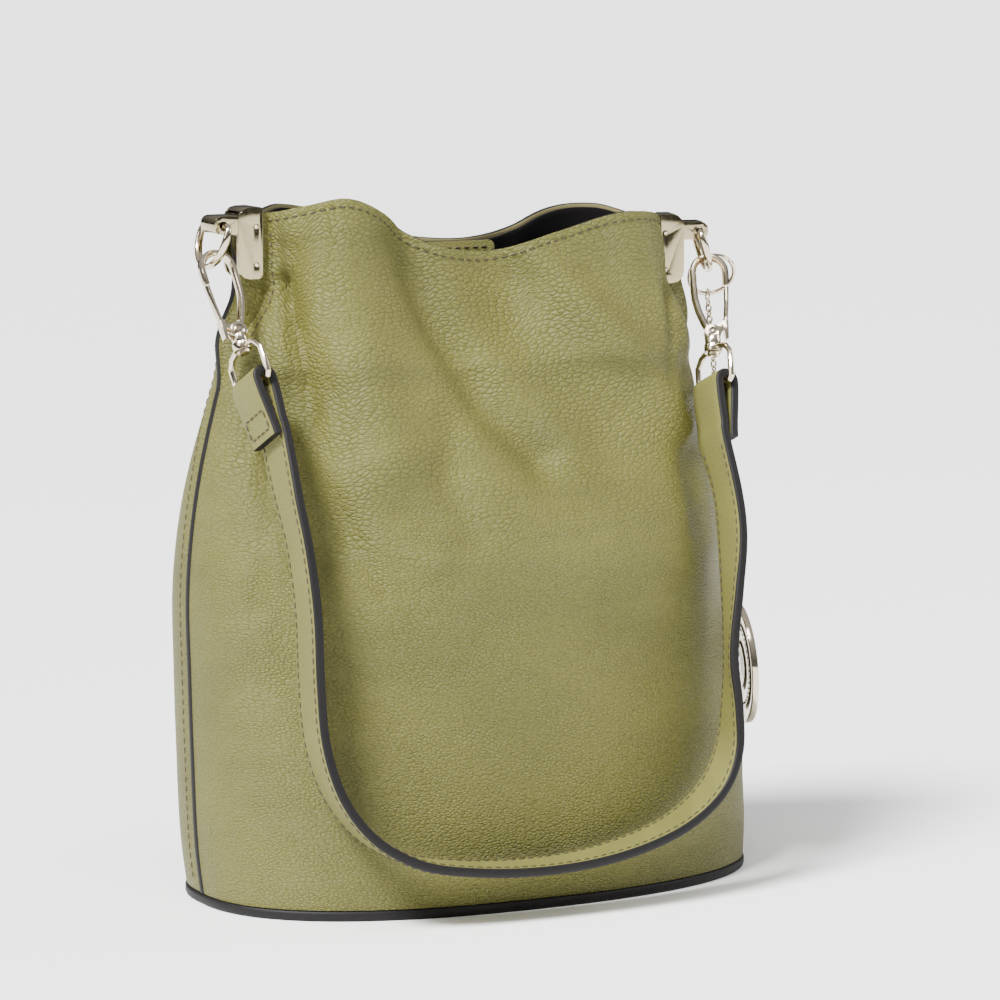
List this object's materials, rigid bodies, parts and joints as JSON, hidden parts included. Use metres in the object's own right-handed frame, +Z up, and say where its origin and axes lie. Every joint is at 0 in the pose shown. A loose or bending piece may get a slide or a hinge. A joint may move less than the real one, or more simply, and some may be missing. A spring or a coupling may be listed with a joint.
{
  "type": "bucket shoulder bag",
  "caption": "Soft leather bucket bag with a clip-on shoulder strap on swivel snap hooks, D-rings on pinched corners and a round charm.",
  "frame": {"origin": "middle of the underside of the base", "axes": "+X right across the bag's width, -Y the front where the strap hangs, +Z up"},
  "size_m": [0.2586, 0.1715, 0.2885],
  "materials": {
    "green_leather": "pebbled, semi-matt",
    "strap_leather": "fine pebbled, semi-matt",
    "painted_edge": "satin edge paint",
    "lining_cloth": "matt, suede-like",
    "board": "fibre board",
    "metal": "polished pale nickel",
    "spring_steel": "plain wire"
  },
  "bodies": {
    "bag": {"base_panel": "painted_edge", "base_board": "board", "front_panel": "green_leather", "rear_panel": "green_leather", "lining": "lining_cloth", "seam_edge_left": "painted_edge", "seam_edge_right": "painted_edge", "closure_tab": "green_leather", "snap_cap": "metal", "snap_stud": "metal", "clamp_left": "metal", "clamp_right": "metal", "clamp_rivet_left_upper_front": "metal", "clamp_rivet_left_upper_rear": "metal", "clamp_rivet_left_lower_front": "metal", "clamp_rivet_left_lower_rear": "metal", "clamp_rivet_right_upper_front": "metal", "clamp_rivet_right_upper_rear": "metal", "clamp_rivet_right_lower_front": "metal", "clamp_rivet_right_lower_rear": "metal"},
    "d_ring_left": {"d_ring_left": "metal"},
    "d_ring_right": {"d_ring_right": "metal"},
    "strap": {"strap": "strap_leather", "strap_loop_left": "metal", "strap_loop_right": "metal", "swivel_stud_left": "metal", "swivel_stud_right": "metal"},
    "hook_left": {"hook_left": "metal", "gate_rivet_left": "metal", "gate_spring_left": "spring_steel"},
    "gate_left": {"gate_left": "metal"},
    "hook_right": {"hook_right": "metal", "gate_rivet_right": "metal", "gate_spring_right": "spring_steel"},
    "gate_right": {"gate_right": "metal"},
    "charm_ring": {"charm_ring": "metal"},
    "charm_ring_gate": {"charm_ring_gate": "metal"},
    "charm_chain": {"charm_jump_ring": "metal", "charm_chain": "metal"},
    "charm_disc": {"charm_disc": "metal", "charm_lower_ring": "metal"}
  },
  "joints": [
    {"name": "d_ring_left_swing", "type": "hinge", "parent": "bag", "child": "d_ring_left", "pos_m": [-0.113, 0, 0.2785], "axis": [0, 1, 0], "range_deg": [0, 3]},
    {"name": "d_ring_right_swing", "type": "hinge", "parent": "bag", "child": "d_ring_right", "pos_m": [0.1055, -0.0073, 0.2695], "axis": [-0.3746, -0.9272, 0], "range_deg": [0, 4]},
    {"name": "strap_swing", "type": "hinge", "parent": "bag", "child": "strap", "pos_m": [-0.11424, 0, 0.27417], "axis": [-0.9986, 0.0351, 0.0407], "range_deg": [0, 32]},
    {"name": "hook_left_swivel", "type": "hinge", "parent": "strap", "child": "hook_left", "pos_m": [-0.11263, -0.0221, 0.23279], "axis": [-0.0997, 0.4688, 0.8777], "range_deg": [-15, 15]},
    {"name": "hook_right_swivel", "type": "hinge", "parent": "strap", "child": "hook_right", "pos_m": [0.10192, -0.02791, 0.2227], "axis": [0.1612, 0.4031, 0.9009], "range_deg": [-15, 15]},
    {"name": "gate_left_hinge", "type": "hinge", "parent": "hook_left", "child": "gate_left", "pos_m": [-0.11311, -0.01985, 0.237], "axis": [0, 0.8821, -0.4711], "range_deg": [0, 18], "stiffness_Nm_per_rad": 0.004, "springref_deg": -17.19},
    {"name": "gate_right_hinge", "type": "hinge", "parent": "hook_right", "child": "gate_right", "pos_m": [0.1027, -0.02598, 0.22702], "axis": [-0.333, -0.837, 0.4341], "range_deg": [0, 18], "stiffness_Nm_per_rad": 0.004, "springref_deg": -17.19},
    {"name": "charm_ring_swing", "type": "hinge", "parent": "d_ring_right", "child": "charm_ring", "pos_m": [0.11213, -0.00244, 0.25441], "axis": [-0.1823, -0.841, -0.5094], "range_deg": [0, 8]},
    {"name": "charm_ring_gate_hinge", "type": "hinge", "parent": "charm_ring", "child": "charm_ring_gate", "pos_m": [0.12584, -0.00021, 0.24584], "axis": [0.1823, 0.841, 0.5094], "range_deg": [0, 15], "stiffness_Nm_per_rad": 0.002, "springref_deg": -17.19},
    {"name": "charm_swing", "type": "hinge", "parent": "charm_ring", "child": "charm_chain", "pos_m": [0.11769, 0.00453, 0.24017], "axis": [-0.1823, -0.841, -0.5094], "range_deg": [0, 15]},
    {"name": "charm_disc_swing", "type": "hinge", "parent": "charm_chain", "child": "charm_disc", "pos_m": [0.12209, -0.01335, 0.11457], "axis": [-0.28, -0.96, 0], "range_deg": [0, 20]}
  ]
}
